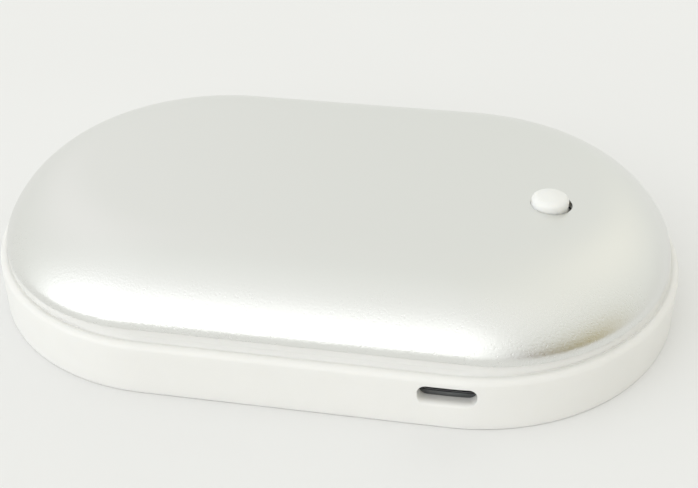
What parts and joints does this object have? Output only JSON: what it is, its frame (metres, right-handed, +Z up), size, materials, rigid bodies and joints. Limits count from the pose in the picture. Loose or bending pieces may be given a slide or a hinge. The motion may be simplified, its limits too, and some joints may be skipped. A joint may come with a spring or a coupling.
{
  "type": "rechargeable hand warmer",
  "caption": "Pocket hand warmer: oval pillow-shaped satin aluminium cover on a stepped white plastic frame, round push button on top, charging socket in the long side.",
  "frame": {"origin": "centre of the base, on the surface the warmer lies on", "axes": "+X along the length towards the push button, +Y across the width away from the charging socket, +Z up out of the rounded cover"},
  "size_m": [0.108, 0.0712, 0.021],
  "materials": {
    "aluminium_satin": "fine bead blasted and anodised, satin",
    "white_plastic": "warm white ABS, semi gloss",
    "button_white": "white, fine satin",
    "inner_grey_plastic": "moulded grey, matt",
    "board_green": "solder mask",
    "steel": "plated",
    "black_plastic": "moulded, matt",
    "cell_foil": "laminated pouch foil",
    "foam_grey": "closed cell foam, matt",
    "heater_film": "amber film with etched tracks",
    "wire_red": "insulation",
    "wire_black": "insulation",
    "wire_white": "insulation",
    "ferrite": "sintered, matt",
    "epoxy": "moulded, matt",
    "led_lens": "clear resin",
    "capacitor_can": "drawn can"
  },
  "bodies": {
    "casing": {"top_cover": "aluminium_satin", "middle_frame": "white_plastic", "bottom_cover": "aluminium_satin", "inner_chassis": "inner_grey_plastic", "upper_support_plate": "inner_grey_plastic", "switch_body": "black_plastic", "circuit_board": "board_green", "usb_socket_shell": "steel", "usb_socket_tongue": "black_plastic", "charge_controller_chip": "epoxy", "heater_driver_chip": "epoxy", "power_inductor": "ferrite", "input_capacitor": "ferrite", "output_capacitor": "capacitor_can", "indicator_led": "led_lens", "battery_cell": "cell_foil", "protection_board": "board_green", "battery_foam_pad": "foam_grey", "bottom_insulation_pad": "foam_grey", "bottom_heating_film": "heater_film", "top_heating_film": "heater_film", "temperature_sensor": "epoxy", "sensor_lead": "wire_white", "top_heater_lead_a": "wire_white", "top_heater_lead_b": "wire_white", "bottom_heater_lead_a": "wire_white", "bottom_heater_lead_b": "wire_white", "battery_lead_positive": "wire_red", "battery_lead_negative": "wire_black", "support_screw_1": "steel", "support_screw_2": "steel", "support_screw_3": "steel", "support_screw_4": "steel", "board_screw_1": "steel", "board_screw_2": "steel"},
    "push_button": {"button_cap": "button_white", "switch_plunger": "black_plastic"}
  },
  "joints": [
    {"name": "button_press", "type": "slide", "parent": "casing", "child": "push_button", "axis": [0, 0, -1], "range_m": [0, 0.0005], "stiffness_N_per_m": 3200}
  ]
}
